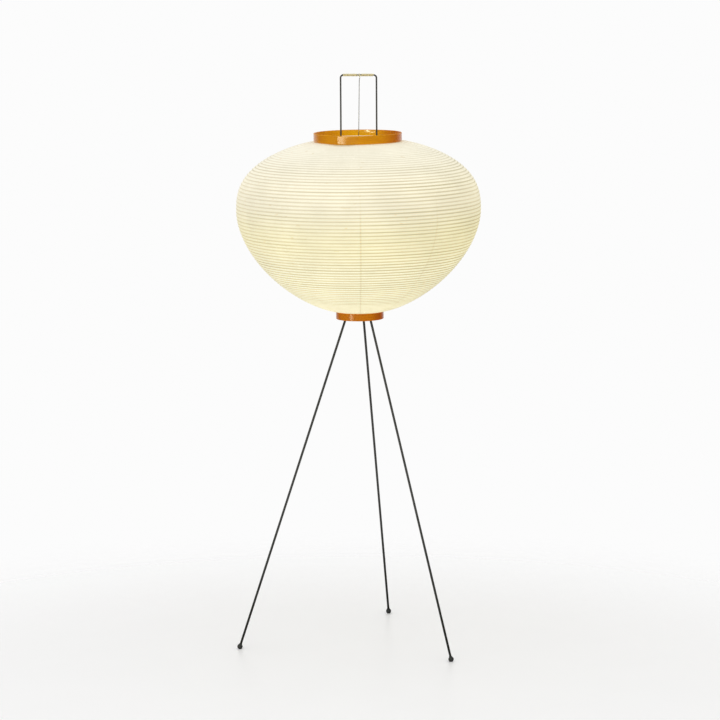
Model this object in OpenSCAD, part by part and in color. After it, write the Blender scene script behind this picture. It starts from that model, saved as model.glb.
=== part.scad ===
// Paper lantern floor lamp.
// Three wire legs and a tall wire handle meet in a small hub plate, which also carries the lamp
// holder. The paper lantern hangs from a hook under the handle and lifts off upwards.
// The origin is on the floor under the middle of the lamp. Z points up, X runs along the handle.

/* [Heights] */
// Height of the lantern's lower edge above the floor
lantern_z = 708; // [600:1:850]
// Height of the paper that shows between the two wooden rings
paper_h = 364; // [320:1:420]
// Height of the belly's widest place above the lower ring
belly_h = 217; // [180:1:240]
// Height of the handle bar's middle above the top ring's rim
handle_rise = 122; // [60:1:180]

/* [Paper] */
// Diameter of the paper at its widest place
belly_d = 524; // [440:2:600]
// Thickness of the paper with its glue
paper_t = 0.5; // [0.3:0.1:1]
// Height of the paper that is glued inside each wooden ring
neck_h = 5; // [3:0.5:7]
// Depth to which the paper draws in between two bamboo hoops
scallop_depth = 0.7; // [0.2:0.1:1.5]
// Roundness of the shoulder above the belly, outwards
shoulder_out = 1.36; // [1.2:0.02:2.4]
// Roundness of the shoulder above the belly, upwards
shoulder_up = 2.66; // [1.4:0.02:3]
// Roundness of the bowl below the belly, outwards
bowl_out = 1.49; // [1.2:0.01:2.4]
// Roundness of the bowl below the belly, downwards
bowl_down = 1.79; // [1.4:0.01:3]

/* [Bamboo hoops] */
// Width of a split-bamboo hoop, along the paper
hoop_w = 1.4; // [0.8:0.1:2.4]
// Thickness of a split-bamboo hoop
hoop_t = 1; // [0.6:0.1:2]
// Distance from one hoop to the next, along the paper
hoop_pitch = 7.8; // [6:0.2:14]

/* [Wooden rings] */
// Outer diameter of the top ring
top_ring_d = 188; // [160:1:220]
// Height of the top ring
top_ring_h = 18; // [14:0.5:30]
// Height of the lower ring
low_ring_h = 16; // [14:0.5:30]
// Thickness of the bent wood
ring_t = 3; // [2:0.25:5]
// Bevel along the edges of the bent wood
ring_bevel = 0.7; // [0.2:0.1:0.9]
// How far the outer end of the bent strip stands proud where it laps over
lap_t = 0.8; // [0.4:0.1:1.5]
// Length of that lap round the ring, in degrees
lap_angle = 48; // [20:1:90]
// Direction of the top ring's lap end, in degrees from +X
top_lap_turn = 244; // [0:1:359]
// Direction of the lower ring's lap end, in degrees from +X
low_lap_turn = 100; // [0:1:359]

/* [Hub plate] */
// Thickness of the hub plate
plate_t = 4; // [3:0.5:6]
// Height of the hub plate's underside above the lantern's lower edge
plate_lift = 10; // [9:0.5:12]
// Metal of the hub plate outside the middle of the handle wire
plate_margin = 7; // [6:0.5:12]
// Gap between the hub plate and the paper neck in the lower ring
ring_gap = 2.4; // [1:0.1:6]
// Bevel of the hub plate's edge
plate_bevel = 0.8; // [0.2:0.1:1.2]

/* [Legs and feet] */
// Diameter of a leg rod
leg_d = 5; // [4:0.25:7]
// Radius of the circle on which the feet stand
foot_circle_r = 268.5; // [220:1:320]
// Radius at which the legs' middle lines cross the hub plate
leg_circle_r = 27.5; // [26:0.25:30]
// Direction of the back leg, in degrees from +X
leg_turn = 76; // [66:1:84]
// How far a leg reaches into its socket above the middle of the hub plate
leg_in = 3; // [1:0.5:4]
// Diameter of a rubber foot
foot_d = 11.6; // [9:0.2:16]
// Height of the slice that the floor flattens off a rubber foot
foot_flat = 0.8; // [0.4:0.1:1.2]
// How far a leg reaches past the middle of its rubber foot
leg_seat = 1.5; // [0:0.25:2]
// Height of the foot's collar above the middle of the foot
collar_h = 6.6; // [6.2:0.1:10]
// Wall of the foot's collar
collar_t = 0.7; // [0.6:0.1:2]

/* [Leg sockets] */
// Outer diameter of a leg socket
socket_d = 9; // [8:0.25:10]
// Length of a leg socket above the middle of the hub plate
socket_above = 6; // [5:0.5:7]
// Length of a leg socket below the middle of the hub plate
socket_below = 9; // [8:0.25:9.5]
// Diameter of a socket's grub screw
grub_d = 3; // [2:0.5:3]
// Gap between a grub screw and the hub plate above it
grub_gap = 0.6; // [0.3:0.1:1]
// How far a grub screw stands out of its socket
grub_out = 0.8; // [0.3:0.1:1.5]
// Width of the hexagon recess in a grub screw
grub_af = 1.5; // [1:0.1:1.6]
// Depth of the hexagon recess in a grub screw
grub_recess = 1.2; // [0.6:0.1:1.6]

/* [Handle frame] */
// Width of the handle frame between the middles of its two wires
frame_w = 76; // [72:1:90]
// Diameter of the frame's wire
frame_d = 3.5; // [2.5:0.25:4.5]
// Bending radius of the frame's upper corners, at the middle of the wire
frame_bend = 6; // [4.5:0.5:12]
// Width across flats of the nuts that clamp the frame
nut_af = 7; // [6.5:0.5:8]
// Thickness of those nuts
nut_t = 2.4; // [1.8:0.2:3]
// How far the frame's wire ends stand out below their nuts
frame_tail = 1; // [0.5:0.25:2]

/* [Handle wrap] */
// Width of the rattan strip round the handle bar
wrap_w = 2.6; // [1.6:0.1:5]
// Thickness of the rattan strip
wrap_t = 0.9; // [0.5:0.1:1.2]
// Gap between two turns of the rattan strip
wrap_gap = 0.6; // [0.5:0.1:1]

/* [Hanger] */
// Diameter of the hanger's wire
hook_d = 1.5; // [1.2:0.1:1.8]
// Turns of the hanger's eye round the handle bar
hook_turns = 1.5; // [1.5:1:2.5]
// Gap between two turns of the hanger's eye
hook_gap = 0.5; // [0.45:0.05:0.8]
// Height over which the hanger's stem comes in under the bar
hook_neck = 14; // [8:1:30]
// Length of the hook's upturned tip
hook_tip = 3; // [1:0.5:6]
// Diameter of the bridge wire across the top ring
bridge_d = 2; // [1.5:0.25:2.5]
// Depth of the bridge wire's middle below the top ring's rim
bridge_drop = 9.5; // [8:0.5:10]
// Distance of the bridge wire behind the handle
bridge_y = 6; // [6:0.25:8]
// Wood left outside the bridge wire's ends
bridge_cover = 1.2; // [0.8:0.1:1.8]

/* [Cord inlet] */
// Outer diameter of the threaded tube through the hub plate
nipple_d = 10; // [9:0.5:11]
// Bore of the threaded tube
nipple_bore = 8; // [7.5:0.25:8.5]
// Width across flats of the lock nut under the hub plate
lock_af = 14; // [13:0.5:17]
// Thickness of the lock nut
lock_t = 3; // [2:0.5:4]
// Length of the threaded tube that stands out below the lock nut
nipple_tail = 2.5; // [1:0.25:2.5]
// Bore of the cord bush
cord_bore = 6.4; // [5.5:0.1:6.8]
// Outer diameter of the cord bush's collar
bush_d = 12; // [11:0.5:14]
// Thickness of the cord bush's collar
bush_t = 1.8; // [1:0.1:2]
// Length of the cord bush inside the threaded tube
bush_in = 10; // [6:0.5:14]

/* [Lamp holder] */
// Outer diameter of the lamp holder
holder_d = 40; // [39:0.5:42]
// Wall of the lamp holder's base and shell
holder_t = 2; // [1.6:0.1:2.2]
// Diameter of the base cup where it stands on its washer
base_foot_d = 26; // [22:1:28]
// Height of the base cup
base_h = 14; // [13:0.5:20]
// Height of the cone at the bottom of the base cup
base_cone_h = 8; // [6:0.5:9]
// Height of the threaded boss inside the base cup
boss_h = 8; // [5:0.5:9]
// Wall of that boss round the threaded tube
boss_t = 3; // [2:0.25:4]
// Height of the lamp holder's outer shell
shell_h = 33; // [31:0.5:34]
// Thickness of the lip round the shell's mouth
lip_t = 2.5; // [1.5:0.25:3]
// Gap between the shell's lip and the bulb's neck
lip_gap = 1; // [0.6:0.1:2]
// Number of grip flutes round the outer shell
flutes = 24; // [12:1:36]
// Depth of the grip flutes
flute_depth = 0.6; // [0.3:0.1:0.9]
// Height of the grip flutes
flute_h = 18; // [8:1:24]
// Height of the plain band below the grip flutes
flute_foot = 4; // [2:0.5:8]
// Thickness of the washer under the lamp holder
washer_t = 1; // [0.5:0.25:2]
// Outer diameter of that washer
washer_d = 24; // [20:1:26]
// Thickness of the insulating insert
insert_t = 6; // [5:0.5:8]
// Height of the threaded metal shell for the bulb
thread_h = 22; // [16:0.5:23]
// Thickness of the threaded metal shell
thread_t = 0.5; // [0.4:0.1:0.8]
// Width of the threaded metal shell's flange
flange_w = 2; // [1:0.25:2.5]
// Height of the spring leaf in the middle of the insert
leaf_h = 2.4; // [1.6:0.2:3]
// Length of the spring leaf
leaf_l = 16; // [12:1:20]
// Width of the spring leaf
leaf_w = 5; // [3:0.5:7]
// Thickness of the spring leaf
leaf_t = 0.5; // [0.4:0.1:0.8]
// Distance of each terminal screw from the middle
terminal_r = 11; // [10:0.25:12]
// Diameter of a terminal screw's head
terminal_head_d = 5.5; // [4:0.25:6]
// Height of a terminal screw's head
terminal_head_h = 2; // [1:0.25:3]
// Diameter of a terminal screw's shank
terminal_d = 3; // [2:0.25:3.5]
// Depth to which a terminal screw goes into the insert
terminal_in = 4; // [2:0.5:4.5]

/* [Bulb] */
// Diameter of the bulb's globe
globe_d = 60; // [50:1:64]
// Length of the bulb from its contact to the top of its globe
bulb_len = 107; // [100:1:118]
// Diameter of the bulb's neck
neck_d = 28; // [27:0.5:30]
// Radius of the curve between neck and globe
neck_curve = 40; // [30:1:55]
// Thickness of the bulb's glass
glass_t = 1; // [0.6:0.1:1.5]
// Outer diameter of the bulb's screw cap
cap_d = 26.4; // [26:0.1:27]
// Height of the bulb's screw cap
cap_h = 22; // [18:0.5:24]
// Thickness of the bulb's screw cap
cap_t = 0.6; // [0.4:0.1:1]
// Depth to which the glass goes into the screw cap
glass_in = 6; // [4:0.5:10]
// Height of the black glass between screw cap and contact
insulator_h = 3.7; // [2:0.1:5]
// Diameter of the bulb's contact
contact_d = 9; // [7:0.5:11]
// Height of the bulb's contact
contact_h = 0.8; // [0.5:0.1:1.5]
// Gap between the bulb's screw cap and the threaded metal shell
cap_gap = 0.5; // [0.3:0.1:0.8]

/* [Hidden] */
hair = 0.1;          // gap between pieces that are fitted or glued together
run_gap = 0.3;       // gap between pieces that come apart
round_fn = 96;       // faces of a full circle on round pieces
wire_fn = 32;        // faces of a full circle on wires and screws
loop_rings = 24;     // rings of a wound tube in one loop
stem_steps = 8;      // rings of the hanger's stem where it comes in under the bar
fine_step = 1.5;     // step along the paper's outline, in degrees of its two quarters
leg_spacing = 120;   // angle between two legs
screw_shoulder = 1;  // height of the taper at the foot of the bulb's screw cap
contact_taper = 0.7; // the contact's tip as a share of its foot
crest_w = 3;         // flat crest of the spring leaf
nipple_rise = 5;     // height of the threaded tube above the base cup's floor
bush_lip = 0.5;      // bevel at the mouth of the cord bush

// Heights, from the floor up
foot_z = foot_d / 2 - foot_flat;
plate_z = lantern_z + plate_lift;
plate_mid = plate_z + plate_t / 2;
plate_top = plate_z + plate_t;
paper_z0 = lantern_z + low_ring_h;
belly_z = paper_z0 + belly_h;
paper_z1 = paper_z0 + paper_h;
rim_z = paper_z1 + top_ring_h;
bridge_z = rim_z - bridge_drop;
bar_z = rim_z + handle_rise;

// Radii of the hub and of the rings round it
plate_r = frame_w / 2 + plate_margin;
low_in_r = plate_r + ring_gap + paper_t + hair;
low_out_r = low_in_r + ring_t;
top_out_r = top_ring_d / 2;
top_in_r = top_out_r - ring_t;

// Legs
leg_run = norm([foot_circle_r - leg_circle_r, plate_mid - foot_z]);
lean = atan2(foot_circle_r - leg_circle_r, plate_mid - foot_z);
back_turn = leg_turn;
left_turn = leg_turn + leg_spacing;
right_turn = leg_turn + 2 * leg_spacing;
grub_rise = grub_d / 2 * cos(lean) + (socket_d / 2 + grub_out) * sin(lean);
grub_down = (plate_t / 2 + grub_gap + grub_rise) / cos(lean);

// Lamp holder, from the hub plate up
holder_z = plate_top + washer_t;
shell_z = holder_z + base_h;
insert_r = holder_d / 2 - holder_t - hair;
insert_top = shell_z + insert_t;
thread_in_r = cap_d / 2 + cap_gap;
nipple_top = holder_z + holder_t + nipple_rise;
nipple_z0 = plate_z - lock_t - nipple_tail;

// Bulb, from its contact up
tip_z = insert_top + leaf_h + run_gap;
cap_z = tip_z + contact_h + insulator_h;
cap_top = cap_z + cap_h;
globe_z = tip_z + bulb_len - globe_d / 2;

// Hanger
eye_r = frame_d / 2 + run_gap + hook_d / 2;
eye_pitch = hook_d + hook_gap;
eye_half = (eye_pitch * hook_turns + hook_d) / 2;
eye_end = eye_pitch * hook_turns / 2;
hook_z = bridge_z + bridge_y - hook_d / 2 - bridge_d / 2 - run_gap;

// Rattan strip
wrap_r = frame_d / 2 + hair + wrap_t / 2;
wrap_pitch = wrap_w + wrap_gap;
wrap_from = eye_half + run_gap + wrap_w / 2;
wrap_to = frame_w / 2 - frame_bend - wrap_w / 2;
wrap_turns = (wrap_to - wrap_from) / wrap_pitch;

// ---- Outline of the paper ----

// One point of the outline as [radius, height]. The turn runs from -90 at the lower ring, over 0
// at the belly, to 90 at the top ring. Each quarter is a superellipse with its own roundness.
function outline(turn) =
    let (up = turn >= 0,
         ring_r = up ? top_in_r - hair : low_in_r - hair,
         ring_z = up ? paper_z1 - hair : paper_z0 + hair,
         out_n = up ? shoulder_out : bowl_out,
         rise_n = up ? shoulder_up : bowl_down)
    [ring_r + (belly_d / 2 - ring_r) * pow(max(cos(turn), 0), 2 / out_n),
     belly_z + (ring_z - belly_z) * pow(abs(sin(turn)), 2 / rise_n)];

fine_line = [for (turn = [-90 : fine_step : 90]) outline(turn)];

// Length along the outline up to each of its points
function run_lengths(line) =
    [for (i = 0, run = 0; i < len(line);
          run = run + (i < len(line) - 1 ? norm(line[i + 1] - line[i]) : 0), i = i + 1) run];

fine_run = run_lengths(fine_line);
outline_len = fine_run[len(fine_run) - 1];
radius_at = [for (i = [0 : len(fine_run) - 1]) [fine_run[i], fine_line[i][0]]];
height_at = [for (i = [0 : len(fine_run) - 1]) [fine_run[i], fine_line[i][1]]];
spans = round(outline_len / hoop_pitch);
half_pitch = outline_len / spans / 2;

// Point of the outline at a length along it, and the direction that points out of the paper there
function on_line(run) = [lookup(run, radius_at), lookup(run, height_at)];
function out_of(run) =
    let (step = on_line(run + half_pitch / 2) - on_line(run - half_pitch / 2))
    [step[1], -step[0]] / norm(step);

// The paper's surface at each hoop and half-way between two hoops, set in by a depth
function skin(depth) =
    [for (i = [1 : 2 * spans - 1])
        let (run = i * half_pitch, draw = (i % 2 == 1) ? scallop_depth : 0)
        on_line(run) - out_of(run) * (depth + draw)];

// ---- Wound tubes ----

function unit(v) = v / norm(v);

// A tube along a path that never runs along X. The section's first number lies along X and its
// second points away from the side that the path curves to.
module swept(path, section) {
    n = len(path);
    m = len(section);
    along = [for (i = [0 : n - 1]) unit(path[min(i + 1, n - 1)] - path[max(i - 1, 0)])];
    rings = [for (i = [0 : n - 1])
        let (out = unit(cross([1, 0, 0], along[i])), side = cross(along[i], out))
        [for (p = section) path[i] + side * p[0] + out * p[1]]];
    ends = [path[0], path[n - 1]];
    walls = [for (i = [0 : n - 2], j = [0 : m - 1])
        let (a = i * m + j, b = i * m + (j + 1) % m)
        each [[a, b, b + m], [a, b + m, a + m]]];
    caps = [for (j = [0 : m - 1])
        let (k = (j + 1) % m)
        each [[n * m, k, j], [n * m + 1, (n - 1) * m + j, (n - 1) * m + k]]];
    polyhedron(points = concat([for (r = rings) each r], ends), faces = concat(walls, caps));
}

// Least distance between the surfaces of one turn and the next, on the points of the two middle
// lines, for a tube that is wide by so much along X
function turn_gap(path, wide) =
    min([for (i = [0 : len(path) - 1 - loop_rings], k = [-1 : 1])
        let (j = min(i + loop_rings + k, len(path) - 1))
        norm(path[j] - path[i])]) - wide;

wire_section = [for (j = [0 : 7]) hook_d / 2 * [cos(-45 * j), sin(-45 * j)]];
strip_section = [[wrap_w / 2, 0], [wrap_w / 3, -wrap_t / 2], [-wrap_w / 3, -wrap_t / 2],
                 [-wrap_w / 2, 0], [-wrap_w / 3, wrap_t / 2], [wrap_w / 3, wrap_t / 2]];

// Middle line of the rattan strip on the right half of the bar
wrap_rings = ceil(wrap_turns * loop_rings);
wrap_path = [for (i = [0 : wrap_rings])
    let (turn = 360 * wrap_turns * i / wrap_rings)
    [wrap_from + wrap_pitch * turn / 360, -wrap_r * cos(turn), bar_z - wrap_r * sin(turn)]];

// Middle line of the hanger: the eye, the stem that comes in under the bar's middle, and the hook
eye_path = [for (i = [0 : hook_turns * loop_rings])
    let (turn = 360 * (hook_turns - i / loop_rings))
    [eye_end - eye_pitch * turn / 360, -eye_r * cos(turn), bar_z + eye_r * sin(turn)]];
stem_path = [for (i = [1 : stem_steps])
    let (off = (1 + cos(180 * i / stem_steps)) / 2)
    [eye_end * off, -eye_r * off, bar_z - hook_neck * i / stem_steps]];
hook_path = [for (turn = [0 : 15 : 180])
    [0, bridge_y * (1 - cos(turn)), hook_z - bridge_y * sin(turn)]];
tip_path = [[0, 2 * bridge_y, hook_z + hook_tip]];
hanger_path = concat(eye_path, stem_path, hook_path, tip_path);

echo(wrap_gap_to_itself = turn_gap(wrap_path, wrap_w));
echo(eye_gap_to_itself = turn_gap(eye_path, hook_d));
echo(hoops = spans - 1, wrap_turns = wrap_turns);

// ---- Shared shapes ----

// Places its children on a leg's middle line, with +Z up the leg and 0 at the hub plate's middle
module on_leg(turn) {
    rotate([0, 0, turn]) translate([leg_circle_r, 0, plate_mid]) rotate([0, -lean, 0]) children();
}

module tube(outer_r, inner_r, h) {
    difference() {
        cylinder(r = outer_r, h = h, $fn = round_fn);
        translate([0, 0, -1]) cylinder(r = inner_r, h = h + 2, $fn = round_fn);
    }
}

module hex_nut(af, bore, h) {
    difference() {
        cylinder(d = af / cos(30), h = h, $fn = 6);
        translate([0, 0, -1]) cylinder(d = bore, h = h + 2, $fn = wire_fn);
    }
}

// Section of a bent-wood strip between two radii, with bevelled edges
module strip_outline(inner_r, outer_r, h) {
    b = ring_bevel;
    polygon([[inner_r + b, 0], [outer_r - b, 0], [outer_r, b], [outer_r, h - b],
             [outer_r - b, h], [inner_r + b, h], [inner_r, h - b], [inner_r, b]]);
}

// A ring bent from one strip. Its outer end laps over the inner one and is planed a little narrower.
module bent_ring(outer_r, h, lap_turn) {
    rotate_extrude($fn = round_fn) strip_outline(outer_r - ring_t, outer_r, h);
    rotate([0, 0, lap_turn]) translate([0, 0, ring_bevel / 2])
        rotate_extrude(angle = lap_angle, $fn = round_fn)
            strip_outline(outer_r - ring_t / 2, outer_r + lap_t, h - ring_bevel);
}

// ---- Stand ----

module hub_plate() {
    color([0.13, 0.13, 0.13]) difference() {
        translate([0, 0, plate_z]) rotate_extrude($fn = round_fn)
            polygon([[0, 0], [plate_r - plate_bevel, 0], [plate_r, plate_bevel],
                     [plate_r, plate_t - plate_bevel], [plate_r - plate_bevel, plate_t],
                     [0, plate_t]]);
        translate([0, 0, plate_z - 1]) cylinder(d = nipple_d + 2 * hair, h = plate_t + 2, $fn = round_fn);
        for (side = [-1, 1]) translate([side * frame_w / 2, 0, plate_z - 1])
            cylinder(d = frame_d + 2 * hair, h = plate_t + 2, $fn = wire_fn);
        for (turn = [back_turn, left_turn, right_turn]) on_leg(turn)
            cylinder(d = socket_d + 2 * hair, h = 4 * plate_t, center = true, $fn = round_fn);
    }
}

module leg_sockets() {
    color([0.16, 0.16, 0.16]) for (turn = [back_turn, left_turn, right_turn]) on_leg(turn)
        difference() {
            translate([0, 0, -socket_below])
                cylinder(d = socket_d, h = socket_below + socket_above, $fn = round_fn);
            translate([0, 0, -socket_below - 1])
                cylinder(d = leg_d + 2 * hair, h = socket_below + 1 + leg_in, $fn = wire_fn);
            translate([0, 0, -grub_down]) rotate([0, 90, 0])
                cylinder(d = grub_d + 2 * hair, h = socket_d, $fn = wire_fn);
        }
}

module socket_screws() {
    length = (socket_d - leg_d) / 2 - hair + grub_out;
    color([0.3, 0.3, 0.31]) for (turn = [back_turn, left_turn, right_turn]) on_leg(turn)
        translate([leg_d / 2 + hair, 0, -grub_down]) rotate([0, 90, 0]) difference() {
            cylinder(d = grub_d, h = length, $fn = wire_fn);
            translate([0, 0, length - grub_recess])
                cylinder(d = grub_af / cos(30), h = grub_recess + 1, $fn = 6);
        }
}

module leg(turn) {
    color([0.16, 0.16, 0.15]) on_leg(turn) translate([0, 0, -leg_run - leg_seat])
        cylinder(d = leg_d, h = leg_run + leg_seat + leg_in, $fn = wire_fn);
}

// A rubber ball with a collar up the leg, flattened where it stands on the floor
module foot(turn) {
    bore = leg_d + 2 * hair;
    color([0.08, 0.08, 0.08]) difference() {
        on_leg(turn) translate([0, 0, -leg_run]) difference() {
            union() {
                sphere(d = foot_d, $fn = round_fn);
                cylinder(d = bore + 2 * collar_t, h = collar_h, $fn = round_fn);
            }
            translate([0, 0, -leg_seat]) cylinder(d = bore, h = leg_seat + collar_h + 1, $fn = wire_fn);
        }
        translate([0, 0, -foot_d]) cylinder(r = foot_circle_r + foot_d, h = foot_d, $fn = round_fn);
    }
}

// One wire, bent to an upside-down U
module handle_frame() {
    z0 = plate_z - nut_t - frame_tail;
    color([0.17, 0.17, 0.16]) {
        for (side = [0, 1]) mirror([side, 0, 0]) {
            translate([frame_w / 2, 0, z0])
                cylinder(d = frame_d, h = bar_z - frame_bend - z0, $fn = wire_fn);
            translate([frame_w / 2 - frame_bend, 0, bar_z - frame_bend]) rotate([90, 0, 0])
                rotate_extrude(angle = 90, $fn = round_fn) translate([frame_bend, 0])
                    circle(d = frame_d, $fn = wire_fn);
        }
        translate([0, 0, bar_z]) rotate([0, 90, 0])
            cylinder(d = frame_d, h = frame_w - 2 * frame_bend, center = true, $fn = wire_fn);
    }
}

module frame_nuts() {
    color([0.3, 0.3, 0.31]) for (side = [-1, 1], z = [plate_z - nut_t, plate_top])
        translate([side * frame_w / 2, 0, z]) hex_nut(nut_af, frame_d + 2 * hair, nut_t);
}

module handle_wrap_right() {
    color([0.78, 0.72, 0.5]) swept(wrap_path, strip_section);
}

module handle_wrap_left() {
    color([0.78, 0.72, 0.5]) mirror([1, 0, 0]) swept(wrap_path, strip_section);
}

module hanger_hook() {
    color([0.3, 0.28, 0.24]) swept(hanger_path, wire_section);
}

// ---- Cord inlet and lamp holder ----

module nipple() {
    color([0.72, 0.6, 0.32]) translate([0, 0, nipple_z0])
        tube(nipple_d / 2, nipple_bore / 2, nipple_top - nipple_z0);
}

module nipple_nut() {
    color([0.72, 0.6, 0.32]) translate([0, 0, plate_z - lock_t])
        hex_nut(lock_af, nipple_d + 2 * hair, lock_t);
}

// Collar under the threaded tube and a sleeve inside it
module cord_bush() {
    low = nipple_z0 - bush_t;
    high = nipple_z0 + bush_in;
    bore_r = cord_bore / 2;
    sleeve_r = nipple_bore / 2 - hair;
    color([0.1, 0.1, 0.1]) rotate_extrude($fn = round_fn)
        polygon([[bore_r + bush_lip, low], [bush_d / 2 - bush_lip, low],
                 [bush_d / 2, low + bush_lip], [bush_d / 2, nipple_z0],
                 [sleeve_r, nipple_z0], [sleeve_r, high], [bore_r, high],
                 [bore_r, low + bush_lip]]);
}

module holder_washer() {
    color([0.6, 0.6, 0.62]) translate([0, 0, plate_top])
        tube(washer_d / 2, nipple_d / 2 + hair, washer_t);
}

// A cup on a cone, with a boss inside for the threaded tube
module holder_base() {
    r0 = base_foot_d / 2;
    r1 = holder_d / 2;
    bore_r = nipple_d / 2 + hair;
    color([0.1, 0.1, 0.1]) translate([0, 0, holder_z]) rotate_extrude($fn = round_fn)
        polygon([[bore_r, 0], [r0, 0], [r1, base_cone_h], [r1, base_h], [r1 - holder_t, base_h],
                 [r1 - holder_t, base_cone_h + holder_t / 2],
                 [bore_r + boss_t + holder_t, holder_t + holder_t / 2],
                 [bore_r + boss_t, holder_t + holder_t / 2], [bore_r + boss_t, boss_h],
                 [bore_r, boss_h]]);
}

// Outer shell with grip flutes and an inward lip at its mouth
module holder_shell() {
    r = holder_d / 2;
    mouth_r = neck_d / 2 + lip_gap;
    color([0.12, 0.12, 0.12]) translate([0, 0, shell_z]) difference() {
        rotate_extrude($fn = round_fn)
            polygon([[r - holder_t, 0], [r, 0], [r, shell_h - holder_t / 2],
                     [r - holder_t / 2, shell_h], [mouth_r, shell_h], [mouth_r, shell_h - lip_t],
                     [r - holder_t, shell_h - lip_t]]);
        for (i = [0 : flutes - 1]) rotate([0, 0, 360 * i / flutes])
            translate([r + holder_t - flute_depth, 0, flute_foot])
                cylinder(r = holder_t, h = flute_h, $fn = wire_fn);
    }
}

// Insulating disc between base and shell, with blind holes for the terminal screws
module holder_insert() {
    color([0.93, 0.92, 0.88]) difference() {
        translate([0, 0, shell_z]) cylinder(r = insert_r, h = insert_t, $fn = round_fn);
        for (side = [-1, 1]) translate([0, side * terminal_r, shell_z - 1])
            cylinder(d = terminal_d + 2 * hair, h = terminal_in + 1, $fn = wire_fn);
    }
}

module holder_thread() {
    color([0.8, 0.66, 0.34]) translate([0, 0, insert_top]) {
        tube(thread_in_r + thread_t, thread_in_r, thread_h);
        tube(thread_in_r + thread_t + flange_w, thread_in_r, thread_t);
    }
}

// A strip that rises from its two ends to a flat crest under the bulb's contact
module contact_leaf() {
    half = leaf_l / 2;
    foot = half / 3;
    crest = crest_w / 2;
    color([0.82, 0.68, 0.36]) translate([0, 0, insert_top]) rotate([90, 0, 0])
        linear_extrude(height = leaf_w, center = true)
            polygon([[-half, 0], [-half + foot, 0], [-crest, leaf_h - leaf_t],
                     [crest, leaf_h - leaf_t], [half - foot, 0], [half, 0], [half, leaf_t],
                     [half - foot + leaf_t, leaf_t], [crest, leaf_h], [-crest, leaf_h],
                     [-half + foot - leaf_t, leaf_t], [-half, leaf_t]]);
}

module terminal_screws() {
    slot = terminal_head_h / 2;
    color([0.75, 0.63, 0.35]) for (side = [-1, 1])
        translate([0, side * terminal_r, shell_z]) difference() {
            union() {
                translate([0, 0, -terminal_head_h])
                    cylinder(d = terminal_head_d, h = terminal_head_h, $fn = wire_fn);
                cylinder(d = terminal_d, h = terminal_in - hair, $fn = wire_fn);
            }
            translate([0, 0, -terminal_head_h])
                cube([2 * terminal_head_d, slot, 2 * slot], center = true);
        }
}

// ---- Lantern ----

module top_ring() {
    color([0.78, 0.5, 0.1]) difference() {
        translate([0, 0, paper_z1]) bent_ring(top_out_r, top_ring_h, top_lap_turn);
        translate([0, bridge_y, bridge_z]) rotate([0, 90, 0])
            cylinder(d = bridge_d + 2 * hair, h = 2 * (bridge_half + hair), center = true, $fn = wire_fn);
    }
}

module lower_ring() {
    color([0.73, 0.42, 0.08]) translate([0, 0, lantern_z])
        bent_ring(low_out_r, low_ring_h, low_lap_turn);
}

// The paper turns up inside the top ring and down inside the lower one, where it is glued
module paper_shade() {
    r0 = low_in_r - hair;
    r1 = top_in_r - hair;
    z0 = paper_z0 + hair;
    z1 = paper_z1 - hair;
    outside = skin(0);
    inside = skin(paper_t);
    last = len(inside) - 1;
    color([0.96, 0.93, 0.83]) rotate_extrude($fn = 2 * round_fn)
        polygon(concat(
            [[r0 - paper_t, z0 - hair - neck_h], [r0, z0 - hair - neck_h], [r0, z0]],
            outside,
            [[r1, z1], [r1, z1 + hair + neck_h], [r1 - paper_t, z1 + hair + neck_h],
             [r1 - paper_t, z1 - paper_t]],
            [for (i = [0 : last]) inside[last - i]],
            [[r0 - paper_t, z0 + paper_t]]));
}

// Split-bamboo hoops inside the paper, one at each crest, with their outer edges clear of it
module bamboo_hoops() {
    edge = scallop_depth * hoop_w / 2 / half_pitch;
    color([0.8, 0.7, 0.48]) for (i = [1 : spans - 1]) {
        run = 2 * half_pitch * i;
        out = out_of(run);
        across = [-out[1], out[0]] * hoop_w / 2;
        face = on_line(run) - out * (paper_t + 2 * hair + edge);
        back = face - out * hoop_t;
        rotate_extrude($fn = round_fn)
            polygon([face - across, face + across, back + across, back - across]);
    }
}

// Half the length of the bridge wire, whose ends sit in blind holes in the top ring
bridge_half = sqrt(pow(top_out_r - bridge_cover, 2) - pow(bridge_y, 2)) - hair;

module bridge_wire() {
    color([0.3, 0.3, 0.29]) translate([0, bridge_y, bridge_z]) rotate([0, 90, 0])
        cylinder(d = bridge_d, h = 2 * bridge_half, center = true, $fn = wire_fn);
}

// ---- Bulb ----

// Right half of the bulb's glass outline, drawn in by a depth
module glass_outline(depth) {
    r = globe_d / 2 - depth;
    neck = neck_d / 2 - depth;
    curve = neck_curve + depth;
    drop = sqrt(pow(r + curve, 2) - pow(neck + curve, 2));
    meet = r / (r + curve);
    intersection() {
        union() {
            translate([0, globe_z]) circle(r = r, $fn = round_fn);
            translate([0, cap_top + depth])
                square([neck, globe_z - drop / 2 - cap_top - depth]);
            difference() {
                translate([0, globe_z - drop])
                    square([meet * (neck + curve), drop * (1 - meet)]);
                translate([neck + curve, globe_z - drop]) circle(r = curve, $fn = round_fn);
            }
        }
        translate([0, cap_z]) square([globe_d, bulb_len]);
    }
}

// Hollow glass with a stem that is cemented into the screw cap
module bulb_glass() {
    stem_r = cap_d / 2 - cap_t - hair;
    color([0.98, 0.97, 0.93]) rotate_extrude($fn = round_fn) {
        difference() {
            glass_outline(0);
            glass_outline(glass_t);
        }
        translate([0, cap_top - glass_in]) square([stem_r, glass_in + glass_t]);
    }
}

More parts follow.
